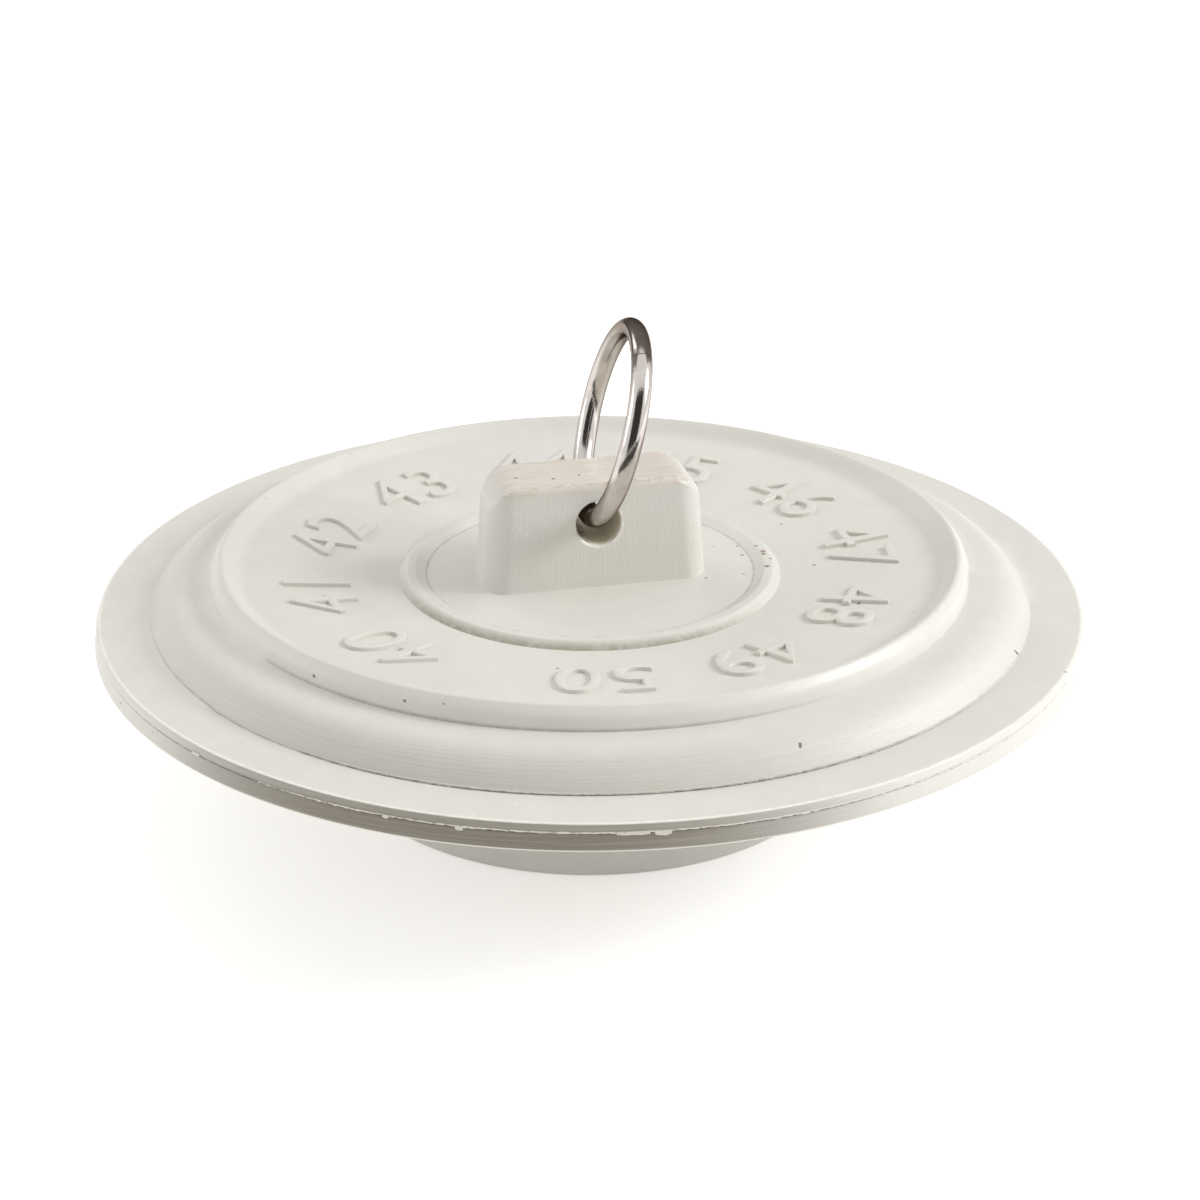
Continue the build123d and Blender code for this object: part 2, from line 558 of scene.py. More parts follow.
def toward_worn_side(vertex):
    """1 where a vertex lies on the worn side of the axis, down to -1 opposite."""
    return vertex.co.dot(worn_side) / max(vertex.co.xy.length, merge_distance)


def soften_corners(body):
    """Rounds the skirt's foot and the bead's foot by steps, from the worn side to the far side."""
    edit(body)
    for furthest in soft_corner_stages:
        pick(
            body,
            "VERT",
            lambda vertex: (
                abs(vertex.co.xy.length - crown_radius) < soft_corner_reach
                or abs(vertex.co.xy.length - bead_outer_foot) < soft_corner_reach / 3
            )
            and vertex.co.z > flange_top - merge_distance
            and toward_worn_side(vertex) < furthest,
        )
        bpy.ops.mesh.vertices_smooth(factor=0.5, repeat=3)
    clear_selection()


def model_flash(name, corners, seed):
    """A thin torn ring: a closed outline turned about Z, its outer edges pulled about at random."""
    flash = draw_outline(name, [(across, up, 0) for across, up in corners + corners[:1]])
    apply_modifier(
        flash,
        "SCREW",
        steps=flash_turns,
        render_steps=flash_turns,
        use_merge_vertices=True,
        merge_threshold=merge_distance,
    )
    close_up(flash)
    edit(flash)
    inner_radius = corners[0][0] + merge_distance
    pick(flash, "VERT", lambda vertex: vertex.co.xy.length > inner_radius)
    bpy.ops.transform.vertex_random(offset=flash_wear, seed=seed)
    for furthest, sink, shrink in flash_ends:
        pick(flash, "VERT", lambda vertex: toward_worn_side(vertex) < furthest)
        bpy.ops.transform.translate(value=(0, 0, -sink))
        bpy.ops.transform.resize(value=(shrink, shrink, 1), center_override=(0, 0, 0))
    clear_selection()
    return flash


def model_parting_flash():
    """The torn line along the lip's foot, where the mould's halves met."""
    inside = flange_radius - 0.4
    corners = [
        (inside, lip_bottom - 0.04),
        (flange_radius - 0.1, lip_bottom - 0.05),
        (flange_radius - 0.07, lip_bottom + 0.03),
        (inside, lip_bottom + 0.14),
    ]
    return model_flash("parting_flash", corners, flash_edge_seeds[0])


def model_skirt_flash():
    """The torn skin over the crease at the skirt's foot."""
    inside = crown_radius - 0.25
    corners = [
        (inside, flange_top + 0.07),
        (crown_radius + 0.07, flange_top + 0.05),
        (crown_radius + 0.06, flange_top + 0.1),
        (inside, flange_top + 0.17),
    ]
    return model_flash("skirt_flash", corners, flash_edge_seeds[1])


def model_flap(azimuth, length, drop):
    """A torn bit of rubber that hangs from the parting line."""
    bpy.ops.mesh.primitive_cube_add(size=1, scale=(length, flap_thickness, drop))
    flap = bpy.context.object
    set_in_place(flap)
    edit(flap)
    bpy.ops.mesh.select_all(action="SELECT")
    bpy.ops.mesh.subdivide(number_cuts=flap_cuts)
    pick(flap, "VERT", lambda vertex: vertex.co.z < 0)
    bpy.ops.transform.vertex_random(offset=drop / 8, seed=int(length * 10))
    pick(flap, "VERT", lambda vertex: vertex.co.z < -drop / 3)
    bpy.ops.transform.resize(value=flap_tip_share, center_override=(0, 0, -drop / 2))
    clear_selection()
    turn = Matrix.Rotation(camera_azimuth + radians(azimuth), 4, "Z")
    reach = flange_radius - flap_inset
    height = lip_bottom - drop / 2 + flap_overlap
    flap.matrix_world = turn @ Matrix.Translation((0, -reach, height))
    set_in_place(flap)
    return flap


def from_hole_axis(vertex):
    """How far a vertex is from the hole's axis."""
    return sqrt(vertex.co.x**2 + (vertex.co.z - hole_z) ** 2)


def is_hole_edge(edge):
    """Whether an edge is part of the sharp rim at either end of the hole."""
    off_wall = max(abs(from_hole_axis(vertex) - hole_radius) for vertex in edge.verts)
    return off_wall < on_hole and edge.calc_face_angle(0) > sharp_rim and edge_reach(edge).y < 1


def model_stopper_body():
    """The whole rubber moulding, with the lug on it and the hole through the lug."""
    body = model_turned_body()
    soften_corners(body)
    combine(body, model_lug(), "UNION")
    combine(body, model_numbers(), "UNION")
    combine(body, model_parting_flash(), "UNION")
    combine(body, model_skirt_flash(), "UNION")
    for azimuth, length, drop in torn_flaps:
        combine(body, model_flap(azimuth, length, drop), "UNION")
    bpy.ops.mesh.primitive_cylinder_add(
        vertices=hole_sides,
        radius=hole_radius,
        depth=2 * lug_thickness,
        location=(0, 0, hole_z),
        rotation=(pi / 2, 0, 0),
    )
    drill = bpy.context.object
    set_in_place(drill)
    combine(body, drill, "DIFFERENCE")
    edit(body)
    pick(body, "EDGE", is_hole_edge)
    bpy.ops.mesh.bevel(offset=hole_edge_radius, segments=3, profile=0.5, affect="EDGES")
    middle = hole_radius + hole_edge_radius / 2
    reach = hole_edge_radius / 2 - on_hole
    pick(body, "VERT", lambda vertex: abs(from_hole_axis(vertex) - middle) < reach)
    bpy.ops.transform.vertex_random(offset=hole_wear, seed=hole_wear_seed)
    clear_selection()
    return body


def model_ring():
    """Round wire bent to a ring that stands in the hole, with a butt joint."""
    bpy.ops.mesh.primitive_circle_add(
        vertices=wire_sides, radius=wire_radius, location=(0, ring_radius, 0)
    )
    ring = bpy.context.object
    ring.name = "pull_ring_wire"
    set_in_place(ring)
    edit(ring)
    joint_span = ring_joint_gap / ring_radius
    bpy.ops.mesh.select_all(action="SELECT")
    bpy.ops.mesh.spin(
        steps=turns_in_ring, angle=2 * pi - joint_span, center=(0, 0, 0), axis=(1, 0, 0)
    )
    bpy.ops.mesh.select_all(action="SELECT")
    bpy.ops.mesh.fill_holes(sides=0)
    close_up(ring)
    turned_to_joint = Matrix.Rotation(ring_joint_angle, 4, "X")
    standing = Matrix.Translation((0, 0, ring_radius - ring_drop))
    leaning = Matrix.Rotation(ring_turn, 4, "Z") @ Matrix.Rotation(ring_lean, 4, "Y")
    in_hole = Matrix.Translation((ring_side_shift, 0, hole_z))
    ring.matrix_world = in_hole @ leaning @ standing @ turned_to_joint
    set_in_place(ring)
    return ring


class Shader:
    """A material's node tree, with short ways to add and join nodes. Places are in millimetres."""

    def __init__(self, name):
        self.material = bpy.data.materials.new(name)
        self.material.use_nodes = True
        self.tree = self.material.node_tree
        self.surface = self.tree.nodes["Principled BSDF"].inputs
        self.place = self.scaled(self.add("ShaderNodeTexCoord").outputs["Object"], 1 / metres)

    def add(self, kind, inputs=None, **settings):
        """Adds a node; inputs are values or other nodes' outputs, by socket name or number."""
        node = self.tree.nodes.new(kind)
        for name, value in settings.items():
            setattr(node, name, value)
        for name, value in (inputs or {}).items():
            if isinstance(value, bpy.types.NodeSocket):
                self.tree.links.new(value, node.inputs[name])
            else:
                node.inputs[name].default_value = value
        return node

    def math(self, operation, first, second=0.0, third=0.0, clamp=False):
        inputs = {0: first, 1: second, 2: third}
        return self.add("ShaderNodeMath", inputs, operation=operation, use_clamp=clamp).outputs[0]

    def vectors(self, operation, output, inputs):
        return self.add("ShaderNodeVectorMath", inputs, operation=operation).outputs[output]

    def scaled(self, place, factor):
        return self.vectors("SCALE", "Vector", {0: place, "Scale": factor})

    def stretched(self, place, factors):
        return self.vectors("MULTIPLY", "Vector", {0: place, 1: factors})

    def plus(self, first, second):
        return self.vectors("ADD", "Vector", {0: first, 1: second})

    def toward(self, place, direction):
        return self.vectors("DOT_PRODUCT", "Value", {0: place, 1: direction})

    def apart(self, first, second):
        return self.vectors("DISTANCE", "Value", {0: first, 1: second})

    def split(self, place):
        return self.add("ShaderNodeSeparateXYZ", {0: place}).outputs

    def joined(self, x, y, z=0.0):
        return self.add("ShaderNodeCombineXYZ", {0: x, 1: y, 2: z}).outputs[0]

    def reach(self, x, y):
        """Distance from an axis, from the two distances square to it."""
        return self.vectors("LENGTH", "Value", {0: self.joined(x, y)})

    def noise(self, place, scale, detail=3.0, roughness=0.5):
        inputs = {"Vector": place, "Scale": scale, "Detail": detail, "Roughness": roughness}
        return self.add("ShaderNodeTexNoise", inputs).outputs["Fac"]

    def spread(self, value, low, high, to_low=0.0, to_high=1.0):
        """Maps a value from one range to another, smoothly and without going past the ends."""
        inputs = {
            "Value": value,
            "From Min": low,
            "From Max": high,
            "To Min": to_low,
            "To Max": to_high,
        }
        node = self.add("ShaderNodeMapRange", inputs, interpolation_type="SMOOTHSTEP")
        return node.outputs["Result"]

    def past(self, value, start, full):
        """0 up to the start, rising to 1."""
        return self.spread(value, start, full)

    def short_of(self, value, full, end):
        """1 at first, falling to 0 at the end."""
        return self.spread(value, full, end, 1.0, 0.0)

    def band(self, value, middle, reach, softness):
        """1 within reach of a middle value, falling to 0 over the softness."""
        away = self.math("ABSOLUTE", self.math("SUBTRACT", value, middle))
        return self.short_of(away, reach, reach + softness)

    def both(self, first, *others):
        for other in others:
            first = self.math("MULTIPLY", first, other)
        return first

    def either(self, first, *others):
        for other in others:
            first = self.math("MAXIMUM", first, other)
        return first

    def total(self, *parts):
        """Sum of (value, factor) pairs."""
        result = 0.0
        for value, factor in parts:
            result = self.math("MULTIPLY_ADD", value, factor, result)
        return result

    def tint(self, share, under, colour):
        """Mixes a colour over what is under it."""
        node = self.add("ShaderNodeMix", data_type="RGBA")
        sockets = (node.inputs[0], node.inputs[6], node.inputs[7])
        for socket, value in zip(sockets, (share, under, colour)):
            if isinstance(value, bpy.types.NodeSocket):
                self.tree.links.new(value, socket)
            else:
                socket.default_value = value
        return node.outputs[2]

    def layered(self, tone, layers):
        """Lays colours over a tone in turn, each given as where, how strong, colour."""
        for share, strength, colour in layers:
            tone = self.tint(self.math("MULTIPLY", share, strength), tone, colour)
        return tone

    def near(self, place, marks):
        """1 at each (x, y, z, radius) mark, with a soft edge."""
        core, edge = speck_edge
        spots = []
        for x, y, z, radius in marks:
            spots.append(self.short_of(self.apart(place, (x, y, z)), radius * core, radius * edge))
        return self.either(*spots)

    def along(self, place, lines):
        """1 along each line from one place to another, with a soft edge."""
        core, edge = scuff_edge
        strokes = []
        for start, end in lines:
            run = Vector(end) - Vector(start)
            from_start = self.plus(place, tuple(-value for value in start))
            lengthways = self.toward(from_start, tuple(run))
            share = self.math("MULTIPLY", lengthways, 1 / run.length_squared, clamp=True)
            nearest = self.scaled(tuple(run), share)
            strokes.append(self.short_of(self.apart(from_start, nearest), core, edge))
        return self.either(*strokes)

    def colour(self, value):
        self.tree.links.new(value, self.surface["Base Color"])

    def roughness(self, value):
        self.tree.links.new(value, self.surface["Roughness"])

    def relief(self, height, strength=1.0):
        """Bump from a height in millimetres."""
        inputs = {"Height": height, "Distance": metres, "Strength": strength}
        bump = self.add("ShaderNodeBump", inputs)
        self.tree.links.new(bump.outputs["Normal"], self.surface["Normal"])


def hole_distances(shader):
    """How far a place is from the hole's axis, and from the lug's middle along that axis."""
    x, y, height = shader.split(shader.place)
    from_axis = shader.reach(x, shader.math("SUBTRACT", height, hole_z))
    return from_axis, shader.math("ABSOLUTE", y)


class Rubber(Shader):
    """The rubber's node tree: the places and patterns that marks share, then each mark's mask."""

    def __init__(self, name):
        super().__init__(name)
        self.x, self.y, self.height = self.split(self.place)
        self.across = self.reach(self.x, self.y)
        self.from_hole, self.off_middle = hole_distances(self)
        outward = self.vectors("NORMALIZE", "Vector", {0: self.stretched(self.place, (1, 1, 0))})
        self.dirty_side = self.toward(outward, grime_and_shade_side)

        # Patterns: rings that run round the axis, then finer and broader mottling
        rings = self.scaled(self.joined(self.across, self.height), streaks_per_millimetre)
        turned = self.plus(rings, self.scaled(outward, streak_turns))
        self.streaks = self.noise(turned, 1.0, 3.0, 0.65)
        self.ragged = self.noise(self.place, 1.5, 3.0, 0.7)
        self.fine = self.noise(self.place, 5.0, 1.0, 0.6)
        self.broad = self.noise(self.place, 0.09, 2.0, 0.55)
        self.cloudy = self.noise(self.place, 0.5, 2.0, 0.6)
        self.grain_along = self.noise(self.stretched(self.place, (0.35, 3.2, 1.2)), 1.0, 4.0, 0.7)

        # Parts of the body
        self.on_top = self.past(self.height, ridge_foot - 0.5, ridge_foot - 0.3)
        self.rim_side = self.both(
            self.short_of(self.height, flange_top - 0.1, flange_top - 0.04),
            self.past(self.height, flange_underside + 0.05, flange_underside + 0.17),
            self.past(self.across, flange_radius - 0.8, flange_radius - 0.5),
        )
        self.on_skirt = self.both(
            self.past(self.across, *skirt_start),
            self.short_of(self.across, crown_radius + 0.02, crown_radius + 0.12),
            self.past(self.height, flange_top - 0.2, flange_top - 0.05),
        )
        self.on_lug = self.both(
            self.past(self.height, centre_floor + 0.15, centre_floor + 0.5),
            self.short_of(self.across, *lug_reach),
        )
        near_top = self.past(self.height, lug_top - 0.9, lug_top - 0.2)
        self.lug_crown = self.both(self.on_lug, near_top)
        self.lug_sides = self.both(self.on_lug, self.short_of(self.lug_crown, 0.0, 1.0))
        self.in_hole = self.both(
            self.short_of(self.from_hole, hole_radius - 0.04, hole_radius + 0.06),
            self.short_of(self.off_middle, lug_thickness / 2 - 0.5, lug_thickness / 2 - 0.25),
        )

    def patchy(self, low, high, least):
        """Breaks a mark up: 1 in most places, down to the least in some."""
        return self.spread(self.ragged, low, high, least, 1.0)

    # The band under the lip darkened towards the front: partly brown stain, partly painted shade
    # under the lip's overhang.
    def band_grime(self):
        return self.both(
            self.rim_side,
            self.spread(self.height, lip_bottom, lip_bottom + 0.1, 1.0, 0.8),
            self.past(self.dirty_side, 0.68, 0.985),
            self.spread(self.streaks, 0.2, 0.5, 0.65, 1.0),
        )

    # Painted shadow: a near-black line just under the lip's overhang, on the front.
    def lip_crease(self):
        return self.both(
            self.band(self.height, lip_bottom - 0.1, 0.03, 0.07),
            self.past(self.across, flange_radius - 0.7, flange_radius - 0.5),
            self.past(self.dirty_side, 0.1, 0.8),
            self.patchy(0.3, 0.5, 0.35),
        )

    def torn_edges(self):
        """The torn parting line, and the bits that stand out from the side below it: pale torn
        rubber with a painted highlight.
        """
        torn_line = self.both(
            self.band(self.height, lip_bottom - 0.01, 0.05, 0.05),
            self.past(self.across, flange_radius - 0.14, flange_radius - 0.11),
            self.patchy(0.35, 0.5, 0.35),
        )
        past_side = self.total(
            (self.across, 1.0), (self.height, side_draft), (1.0, -side_radius_at_foot)
        )
        loose_bits = self.both(
            self.past(past_side, 0.03, 0.07),
            self.past(self.height, lip_bottom - 0.6, lip_bottom - 0.55),
            self.short_of(self.height, lip_bottom - 0.04, lip_bottom),
        )
        return self.either(torn_line, loose_bits)

    # Painted highlight: a pale line along the flange's bottom edge.
    def foot_line(self):
        return self.both(
            self.band(self.height, flange_underside + 0.08, 0.05, 0.05),
            self.past(self.across, flange_radius - 0.2, flange_radius - 0.1),
        )

    # Painted highlight: a pale line along the flange's top edge.
    def bright_edge(self):
        return self.both(
            self.band(self.across, flange_radius - 0.41, 0.09, 0.08),
            self.past(self.height, flange_top - 0.07, flange_top - 0.03),
            self.patchy(0.3, 0.55, 0.4),
        )

    # Painted shade: the skirt darker on its front, streaked along the turning marks.
    def skirt_grime(self):
        return self.both(
            self.on_skirt,
            self.past(self.dirty_side, 0.35, 1.0),
            self.spread(self.streaks, 0.3, 0.7, 0.55, 1.0),
        )

    # Painted shade: a dark line in the crease at the skirt's foot, on the front.
    def foot_crease(self):
        return self.both(
            self.band(self.across, crown_radius + 0.04, 0.04, 0.07),
            self.past(self.height, flange_top - 0.5, flange_top - 0.3),
            self.past(self.dirty_side, 0.25, 0.8),
            self.patchy(0.3, 0.6, 0.35),
        )

    # Painted shade: a dark line in the crease at the bead's outer foot, on the front.
    def bead_crease(self):
        return self.both(
            self.band(self.across, bead_outer_foot, 0.02, 0.09),
            self.band(self.height, flange_top + shoulder_rise, 0.05, 0.25),
            self.past(self.dirty_side, 0.6, 0.95),
            self.patchy(0.3, 0.6, 0.7),
        )

    # The ridge's outer wall darkened towards its foot on the front: partly olive stain, partly
    # painted shade.
    def ridge_grime(self):
        return self.both(
            self.past(self.across, ridge_outer_crest - 0.1, ridge_outer_foot - 0.05),
            self.short_of(self.across, ridge_outer_foot, ridge_outer_foot + 0.12),
            self.on_top,
            self.past(self.dirty_side, 0.1, 0.85),
            self.patchy(0.3, 0.6, 0.65),
        )

    # Painted highlight: a pale line just outside the ridge's outer foot.
    def ridge_line(self):
        return self.both(
            self.band(self.across, ridge_outer_foot + 0.17, 0.03, 0.06),
            self.on_top,
            self.past(self.dirty_side, 0.45, 0.9),
            self.patchy(0.35, 0.5, 0.3),
        )

    # Painted shade: a dark line in the crease at the ridge's inner foot.
    def inner_crease(self):
        return self.both(
            self.band(self.across, ridge_inner_foot + 0.05, 0.02, 0.09),
            self.on_top,
            self.patchy(0.35, 0.6, 0.3),
        )

    def crest_stain(self):
        return self.both(
            self.band(self.across, ridge_inner_crest + 0.02, 0.03, 0.05),
            self.on_top,
            self.past(self.dirty_side, 0.5, 0.9),
            self.patchy(0.5, 0.6, 0.0),
        )

    # Painted shade: the digits' steep side walls darker and olive.
    def digit_sides(self):
        normal = self.add("ShaderNodeNewGeometry").outputs["Normal"]
        return self.both(
            self.past(self.across, *numbers_start),
            self.short_of(self.across, *numbers_end),
            self.short_of(self.split(normal)[2], 0.55, 0.95),
            self.past(self.height, flange_top + 1.5, flange_top + 2.0),
        )

    # Painted shade: black patches on the left inside the hole.
    def black_in_hole(self):
        return self.both(
            self.in_hole, self.past(self.ragged, 0.42, 0.56), self.short_of(self.x, -1.1, -0.1)
        )

    # The hole's rim painted near white on its lower right: pale torn rubber with a painted
    # highlight.
    def hole_rim(self):
        low_right = self.math("SUBTRACT", self.x, self.height)
        return self.both(
            self.band(self.from_hole, hole_radius + 0.08, 0.09, 0.06),
            self.past(self.off_middle, lug_thickness / 2 - 0.7, lug_thickness / 2 - 0.55),
            self.past(low_right, -hole_z - 0.9, -hole_z + 0.9),
            self.patchy(0.3, 0.5, 0.3),
        )

    def edge_stain(self):
        broken_lines = self.noise(self.stretched(self.place, (1.2, 6, 6)), 1.0, 3.0, 0.65)
        return self.both(
            self.lug_crown,
            self.band(self.off_middle, lug_thickness / 2 - 0.8, 0.1, 0.2),
            self.past(broken_lines, 0.5, 0.64),
        )

    def dust(self):
        """Specks at the middles of some of the cells."""
        inputs = {"Vector": self.place, "Scale": dust_per_millimetre, "Randomness": 1.0}
        cells = self.add("ShaderNodeTexVoronoi", inputs, feature="F1")
        chosen = self.past(self.split(cells.outputs["Color"])[0], 0.35, 0.4)
        return self.both(self.short_of(cells.outputs["Distance"], 0.016, 0.034), chosen)

    def worried_place(self):
        """Places pulled about a little, so that marks aren't quite round or straight."""
        inputs = {"Vector": self.place, "Scale": 4.0, "Detail": 1.0}
        wander = self.add("ShaderNodeTexNoise", inputs).outputs["Color"]
        centred = self.plus(wander, (-0.5, -0.5, -0.5))
        return self.plus(self.place, self.scaled(centred, mark_wander))


def white_rubber():
    """Off-white moulded rubber: faint mottling, stains, painted shade in its creases, under its lip
    and on its front, painted highlights along its edges, dust and tool marks.
    """
    rubber = Rubber("white_rubber")
    band_grime, skirt_grime = rubber.band_grime(), rubber.skirt_grime()
    # Tone of the band under the lip: brown stain and painted shade together.
    stain_and_shade_tone = rubber.tint(
        rubber.past(rubber.streaks, 0.35, 0.65), (0.2, 0.165, 0.12, 1), (0.3, 0.28, 0.235, 1)
    )
    marked_place = rubber.worried_place()
    scuffs = rubber.both(
        rubber.along(marked_place, pale_scuffs), rubber.past(rubber.fine, 0.45, 0.6)
    )
    clean = rubber.tint(
        rubber.past(rubber.broad, 0.3, 0.7), (0.765, 0.745, 0.7, 1), (0.74, 0.73, 0.7, 1)
    )

    # Where, how strong, colour
    layers = (
        (rubber.past(rubber.cloudy, 0.42, 0.72), 0.35, (0.8, 0.782, 0.735, 1)),
        (
            rubber.both(rubber.lug_crown, rubber.spread(rubber.grain_along, 0.3, 0.6, 0.3, 0.75)),
            1.0,
            (0.76, 0.69, 0.61, 1),
        ),
        # Painted shade: the lug's upright sides darker and greener than its top.
        (rubber.lug_sides, 0.35, (0.68, 0.69, 0.62, 1)),
        (
            rubber.both(rubber.lug_crown, rubber.past(rubber.grain_along, 0.48, 0.66)),
            0.35,
            (0.6, 0.5, 0.41, 1),
        ),
        (rubber.edge_stain(), 0.65, (0.4, 0.31, 0.22, 1)),
        # Painted shade on the skirt's front.
        (skirt_grime, 0.42, (0.5, 0.48, 0.42, 1)),
        # Band under the lip: brown stain with painted shade.
        (band_grime, 0.92, stain_and_shade_tone),
        # Painted shade on the digits' side walls.
        (rubber.digit_sides(), 0.28, (0.5, 0.46, 0.37, 1)),
        # Painted shade in the bead's outer crease.
        (rubber.bead_crease(), 0.45, (0.3, 0.28, 0.23, 1)),
        # Painted shade in the skirt's foot crease.
        (rubber.foot_crease(), 0.5, (0.26, 0.24, 0.2, 1)),
        # Ridge's outer wall: olive stain with painted shade.
        (rubber.ridge_grime(), 0.85, (0.33, 0.31, 0.235, 1)),
        # Painted highlight at the ridge's outer foot.
        (rubber.ridge_line(), 0.7, (0.9, 0.88, 0.82, 1)),
        # Painted shade in the ridge's inner crease.
        (rubber.inner_crease(), 0.45, (0.3, 0.27, 0.2, 1)),
        (rubber.crest_stain(), 0.7, (0.36, 0.29, 0.2, 1)),
        # Painted shadow under the lip.
        (rubber.lip_crease(), 0.7, (0.12, 0.105, 0.085, 1)),
        # Torn parting line: pale torn rubber with a painted highlight.
        (rubber.torn_edges(), 0.85, (0.88, 0.85, 0.78, 1)),
        # Painted highlight on the flange's bottom edge.
        (rubber.foot_line(), 0.8, (0.86, 0.83, 0.76, 1)),
        # Inside the hole: olive grime, made pale yellow as painted light that brightens the shaded
        # hole.
        (rubber.in_hole, 0.85, (0.88, 0.78, 0.5, 1)),
        # Painted shade inside the hole.
        (rubber.black_in_hole(), 0.9, (0.05, 0.04, 0.03, 1)),
        # Hole rim: torn rubber with a painted highlight.
        (rubber.hole_rim(), 1.0, (0.97, 0.95, 0.89, 1)),
        # Painted highlight on the flange's top edge.
        (rubber.bright_edge(), 0.85, (0.95, 0.93, 0.86, 1)),
        (rubber.dust(), 0.6, (0.2, 0.17, 0.13, 1)),
        (rubber.near(marked_place, rusty_specks), 0.75, (0.22, 0.09, 0.04, 1)),
        (rubber.near(marked_place, dark_specks), 0.85, (0.09, 0.075, 0.06, 1)),
        (scuffs, 0.6, (0.93, 0.92, 0.88, 1)),
    )
    rubber.colour(rubber.layered(clean, layers))

    dull = rubber.either(band_grime, skirt_grime, rubber.in_hole)
    rubber.roughness(
        rubber.total((rubber.cloudy, 0.16), (rubber.fine, 0.06), (dull, 0.15), (1.0, 0.3))
    )

    # Relief, in millimetres
    upright_grain = rubber.noise(
        rubber.stretched(rubber.place, (4.5, 4.5, 0.45)), 1.0, 3.0, 0.7
    )
    streaked = rubber.both(rubber.either(rubber.on_skirt, rubber.rim_side), rubber.streaks)
    rubber.relief(
        rubber.total(
            (rubber.fine, 0.006),
            (rubber.ragged, 0.008),
            (rubber.cloudy, 0.02),
            (rubber.both(rubber.lug_sides, upright_grain), 0.03),
            (rubber.both(rubber.lug_crown, rubber.grain_along), 0.05),
            (streaked, 0.04),
        )
    )
    return rubber.material


def polished_wire():
    """Plated steel wire, dulled a little along its length, with grime and painted shade where it
    runs through the hole.
    """
    shader = Shader("polished_wire")
    from_hole, off_middle = hole_distances(shader)
    # Where the wire runs through the hole: grime, and painted shade that darkens its reflection.
    rubbed_and_shaded = shader.both(
        shader.short_of(from_hole, 1.2, 1.9),
        shader.short_of(off_middle, lug_thickness / 2 - 0.9, lug_thickness / 2 + 0.1),
    )
    cloudy = shader.noise(shader.place, 0.8, 4.0, 0.6)
    fine = shader.noise(shader.place, 9.0, 2.0, 0.5)
    inputs = {"Vector": shader.place, "Scale": wire_specks_per_millimetre, "Randomness": 1.0}
    cells = shader.add("ShaderNodeTexVoronoi", inputs, feature="F1")
    specks = shader.short_of(cells.outputs["Distance"], 0.05, 0.1)
    clean = shader.tint(
        shader.past(cloudy, 0.35, 0.65), (0.66, 0.61, 0.575, 1), (0.6, 0.56, 0.53, 1)
    )
    layers = ((specks, 0.5, (0.75, 0.72, 0.7, 1)), (rubbed_and_shaded, 0.8, (0.13, 0.1, 0.075, 1)))
    shader.colour(shader.layered(clean, layers))
    shader.surface["Metallic"].default_value = 1
    shader.surface["Specular Tint"].default_value = (0.3, 0.27, 0.25, 1)
    shader.roughness(
        shader.total((cloudy, 0.1), (fine, 0.08), (specks, 0.2), (rubbed_and_shaded, 0.4), (1.0, 0.07))
    )
    shader.relief(shader.total((cloudy, 0.02), (fine, 0.0015), (specks, 0.004)))
    return shader.material


def place_camera():
    """A camera where the photograph was taken from, with its frame."""
    camera = bpy.data.objects.new("camera", bpy.data.cameras.new("camera"))
    bpy.context.scene.collection.objects.link(camera)
    camera.data.sensor_width = sensor_width
    camera.data.lens = focal_pixels / photograph_side * sensor_width
    camera.data.shift_x = 0.5 - axis_pixel[0] / photograph_side
    camera.data.shift_y = axis_pixel[1] / photograph_side - 0.5
    camera.data.clip_start = 0.01
    camera.data.clip_end = 20
    aim = Matrix.Translation((0, 0, flange_top * metres))
    turn = Matrix.Rotation(camera_azimuth, 4, "Z")
    tilt = Matrix.Rotation(pi / 2 - camera_elevation, 4, "X")
    back = Matrix.Translation((0, 0, camera_distance * metres))
    roll = Matrix.Rotation(-camera_roll, 4, "Z")
    camera.matrix_world = aim @ turn @ tilt @ back @ roll
    bpy.context.scene.camera = camera


def light_world():
    """A plain white studio: white to the eye and in reflections, softer and warmer as a light."""
    world = bpy.data.worlds.new("studio")
    bpy.context.scene.world = world
    world.use_nodes = True
    nodes, links = world.node_tree.nodes, world.node_tree.links
    rays = nodes.new("ShaderNodeLightPath")
    seen = nodes.new("ShaderNodeMath")
    seen.operation = "MAXIMUM"
    links.new(rays.outputs["Is Camera Ray"], seen.inputs[0])
    links.new(rays.outputs["Is Glossy Ray"], seen.inputs[1])
    seen_through = nodes.new("ShaderNodeMath")
    seen_through.operation = "MAXIMUM"
    links.new(seen.outputs[0], seen_through.inputs[0])
    links.new(rays.outputs["Is Transmission Ray"], seen_through.inputs[1])
    place = nodes.new("ShaderNodeTexCoord")
    forward = nodes.new("ShaderNodeVectorMath")
    forward.operation = "DOT_PRODUCT"
    forward.inputs[1].default_value = (sin(camera_azimuth), -cos(camera_azimuth), 0)
    links.new(place.outputs["Generated"], forward.inputs[0])
    front = nodes.new("ShaderNodeMapRange")
    front.inputs["From Min"].default_value = front_light_start
    links.new(forward.outputs["Value"], front.inputs["Value"])
    soft = nodes.new("ShaderNodeMix")
    soft.data_type = "RGBA"
    soft.inputs[6].default_value = soft_light
    soft.inputs[7].default_value = soft_light_in_front
    links.new(front.outputs["Result"], soft.inputs[0])
    tone = nodes.new("ShaderNodeMix")
    tone.data_type = "RGBA"
    links.new(soft.outputs[2], tone.inputs[6])
    tone.inputs[7].default_value = (1, 1, 1, 1)
    links.new(seen_through.outputs[0], tone.inputs[0])
    links.new(tone.outputs[2], nodes["Background"].inputs["Color"])


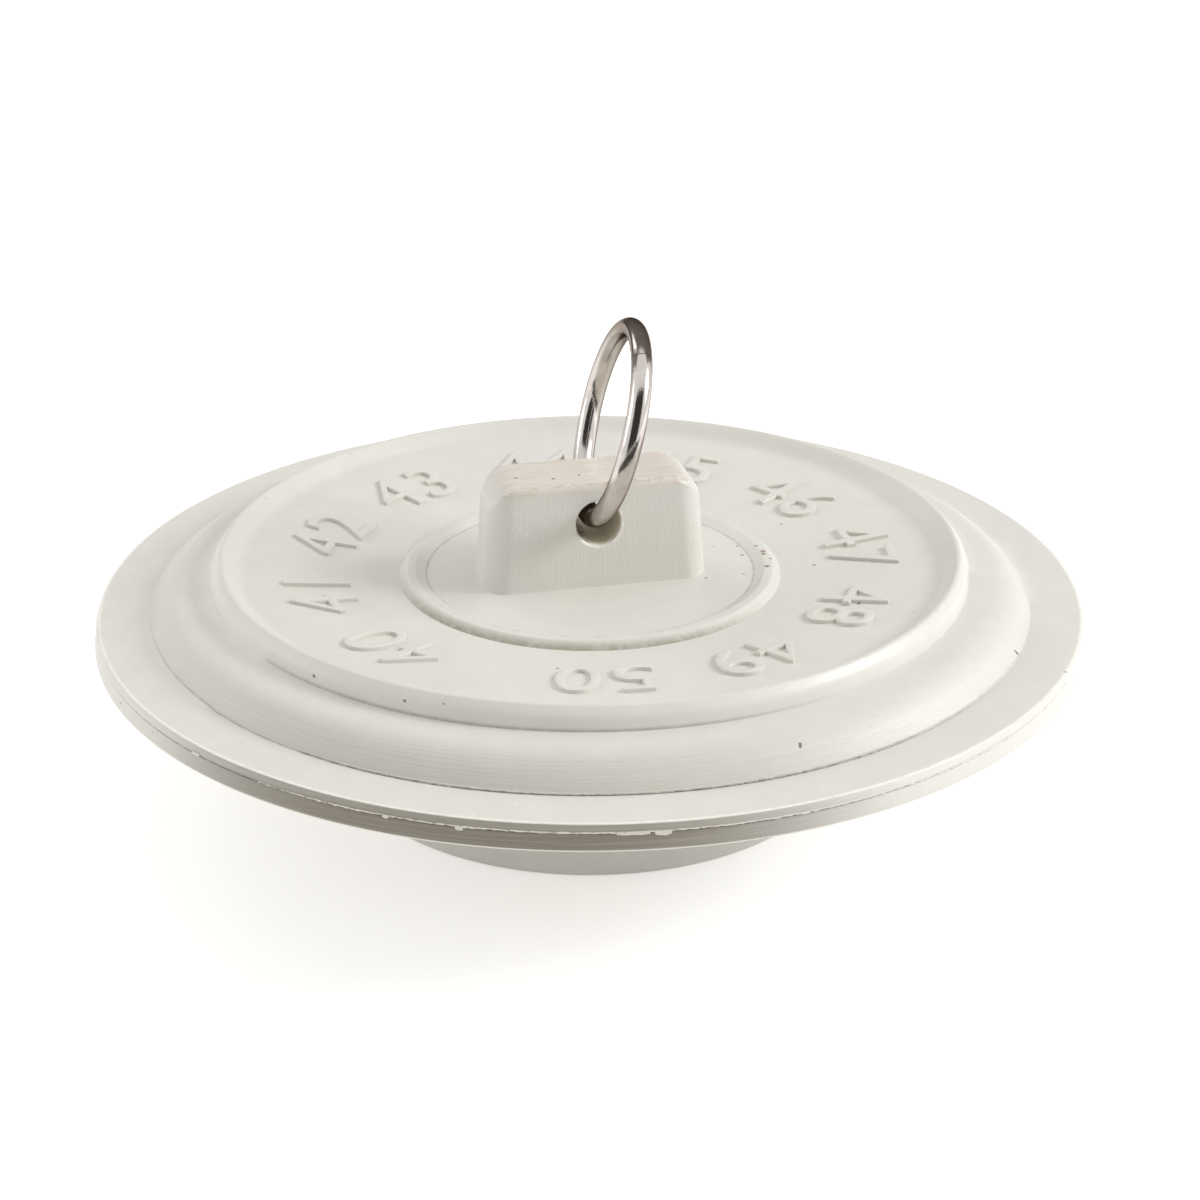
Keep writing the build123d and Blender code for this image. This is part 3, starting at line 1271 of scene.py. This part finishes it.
def lay_floor():
    """A pale floor that keeps the object's shadow."""
    bpy.ops.mesh.primitive_plane_add(size=floor_size)
    floor = bpy.context.object
    floor.name = "floor"
    shader = Shader("pale_floor")
    surface = shader.surface
    surface["Base Color"].default_value = (0.9, 0.9, 0.9, 1)
    surface["Roughness"].default_value = 0.9
    surface["Specular IOR Level"].default_value = 0
    rays = shader.add("ShaderNodeLightPath")
    seen = shader.math("MAXIMUM", rays.outputs["Is Camera Ray"], rays.outputs["Is Glossy Ray"])
    surface["Emission Color"].default_value = (1, 0.985, 0.955, 1)
    glow = shader.math("MULTIPLY_ADD", seen, floor_glow_seen - floor_glow, floor_glow)
    shader.tree.links.new(glow, surface["Emission Strength"])
    floor.data.materials.append(shader.material)
    clear_selection()


def aimed(azimuth, elevation, distance, shift=0):
    """A place that faces the stopper, by azimuth and elevation as seen from the camera."""
    turn = Matrix.Rotation(camera_azimuth + radians(azimuth), 4, "Z")
    standing = turn @ Matrix.Rotation(pi / 2 - radians(elevation), 4, "X")
    return standing @ Matrix.Translation((0, shift, distance))


def soft_box(name, azimuth, elevation, distance, size, power):
    """A square lamp aimed at the stopper."""
    lamp = bpy.data.objects.new(name, bpy.data.lights.new(name, "AREA"))
    bpy.context.scene.collection.objects.link(lamp)
    lamp.data.shape = "SQUARE"
    lamp.data.size = size
    lamp.data.energy = power
    lamp.matrix_world = aimed(azimuth, elevation, distance)


def dark_flag(name, azimuth, elevation, distance, width, height, glow, shift=0):
    """A dark screen that only reflections see, with the little light that it sends back."""
    bpy.ops.mesh.primitive_plane_add(size=1)
    flag = bpy.context.object
    flag.name = name
    place = aimed(azimuth, elevation, distance, shift)
    flag.matrix_world = place @ Matrix.Diagonal((width, height, 1, 1))
    shader = Shader(name)
    shader.surface["Base Color"].default_value = (0, 0, 0, 1)
    shader.surface["Specular IOR Level"].default_value = 0
    shader.surface["Emission Color"].default_value = (1, 0.9, 0.84, 1)
    shader.surface["Emission Strength"].default_value = glow
    flag.data.materials.append(shader.material)
    flag.visible_camera = False
    flag.visible_diffuse = False
    flag.visible_shadow = False
    clear_selection()


view_settings = bpy.context.scene.view_settings
view_settings.view_transform = "Standard"
clear_selection()
place_camera()
light_world()
lay_floor()
soft_box("key", azimuth=86, elevation=32, distance=0.6, size=0.2, power=1.9)
soft_box("fill", azimuth=-95, elevation=18, distance=0.6, size=0.25, power=0.4)
soft_box("back", azimuth=-145, elevation=33, distance=0.6, size=0.3, power=0.52)
dark_flag("back_flag", 180, 35, distance=0.5, width=1.3, height=0.75, glow=0.17)
dark_flag("camera_flag", 0, 28, distance=0.45, width=0.7, height=0.62, glow=0.045)
dark_flag("floor_flag", 0, -90, distance=-0.001, width=0.3, height=0.25, glow=0.06, shift=0.17)
finish(model_stopper_body(), white_rubber(), "stopper", "stopper_body")
finish(model_ring(), polished_wire(), "ring", "pull_ring")
